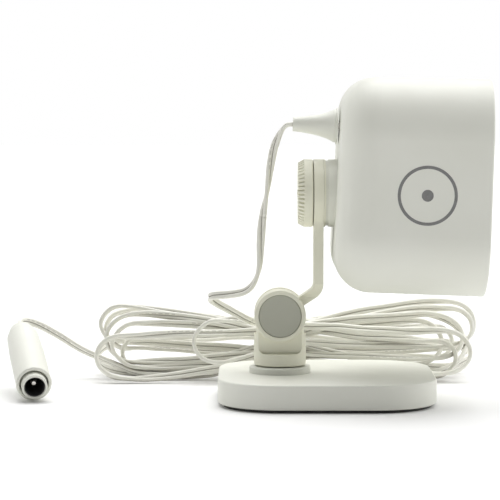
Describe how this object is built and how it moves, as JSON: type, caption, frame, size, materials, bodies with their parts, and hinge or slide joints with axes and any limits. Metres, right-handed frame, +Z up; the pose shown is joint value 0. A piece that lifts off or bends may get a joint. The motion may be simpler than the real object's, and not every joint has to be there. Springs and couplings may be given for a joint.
{
  "type": "desk camera",
  "caption": "Small rounded-square camera head on a bent flat arm with thumbwheel clamp, tilt knuckle, swivel post and weighted base, with its hanked flat power lead.",
  "frame": {"origin": "underside of the base pad, on the axis of the stand's swivel", "axes": "+X the way the camera looks, +Z up, +Y to the left of the camera"},
  "size_m": [0.1527, 0.1203, 0.0967],
  "materials": {
    "white_plastic": "fine satin moulded",
    "warm_plastic": "fine satin moulded",
    "grey_plastic": "satin moulded",
    "black_gloss": "polished",
    "dark_plastic": "fine matt",
    "lens_glass": "coated",
    "clear_plastic": "clear",
    "circuit_board": "solder mask",
    "steel": "plain",
    "nickel": "bright",
    "brass": "machined",
    "pad_rubber": "matt",
    "cable_jacket": "soft white vinyl"
  },
  "bodies": {
    "root": {"base_cover": "white_plastic", "base_plate": "steel", "base_screws": "steel", "base_pad": "pad_rubber", "cable_lower": "cable_jacket", "cable_tail": "cable_jacket", "cable_hank": "cable_jacket", "cable_tie": "white_plastic", "jack_body": "white_plastic", "jack_bush": "white_plastic", "jack_sleeve": "dark_plastic", "jack_insulator": "dark_plastic", "jack_pin": "nickel"},
    "post": {"swivel_post": "warm_plastic", "swivel_washer": "steel", "swivel_spring": "steel", "swivel_screw": "steel", "hinge_bolt": "steel", "hinge_nut": "steel", "hinge_cap_near": "grey_plastic", "hinge_cap_far": "grey_plastic", "hinge_washers": "warm_plastic"},
    "arm": {"tilt_arm": "warm_plastic", "cable_upper": "cable_jacket"},
    "clamp": {"thumbwheel": "warm_plastic", "tripod_screw": "steel"},
    "button": {"setup_button": "warm_plastic"},
    "head": {"rear_housing": "white_plastic", "friction_pad": "warm_plastic", "threaded_insert": "brass", "face_plate": "black_gloss", "face_seal": "pad_rubber", "lens_ring": "dark_plastic", "lens_glass": "lens_glass", "lens_barrel": "dark_plastic", "lens_holder": "dark_plastic", "image_sensor": "dark_plastic", "sensor_board": "circuit_board", "board_spacers": "steel", "main_board": "circuit_board", "board_screws": "steel", "processor": "dark_plastic", "wifi_module": "steel", "ir_board": "circuit_board", "ir_leds": "clear_plastic", "light_sensor": "grey_plastic", "light_pipe": "clear_plastic", "microphone": "dark_plastic", "power_socket": "dark_plastic", "plug_shell": "nickel", "cable_boot": "white_plastic", "setup_switch": "dark_plastic"}
  },
  "joints": [
    {"name": "post_swivel", "type": "hinge", "parent": "root", "child": "post", "pos_m": [0, 0, 0.0102], "axis": [0, 0, 1], "range_deg": [-180, 180]},
    {"name": "arm_tilt", "type": "hinge", "parent": "post", "child": "arm", "pos_m": [0, 0, 0.0256], "axis": [0, 1, 0], "range_deg": [-60, 22]},
    {"name": "thumbwheel_turn", "type": "hinge", "parent": "arm", "child": "clamp", "pos_m": [0.0075, 0, 0.0621], "axis": [1, 0, 0], "continuous": true},
    {"name": "head_roll", "type": "hinge", "parent": "arm", "child": "head", "pos_m": [0.0168, 0, 0.0621], "axis": [1, 0, 0], "range_deg": [-90, 90]},
    {"name": "button_press", "type": "slide", "parent": "head", "child": "button", "axis": [0.9996, 0, -0.0297], "range_m": [0, 0.0006], "stiffness_N_per_m": 400, "springref_m": -0.0005}
  ]
}
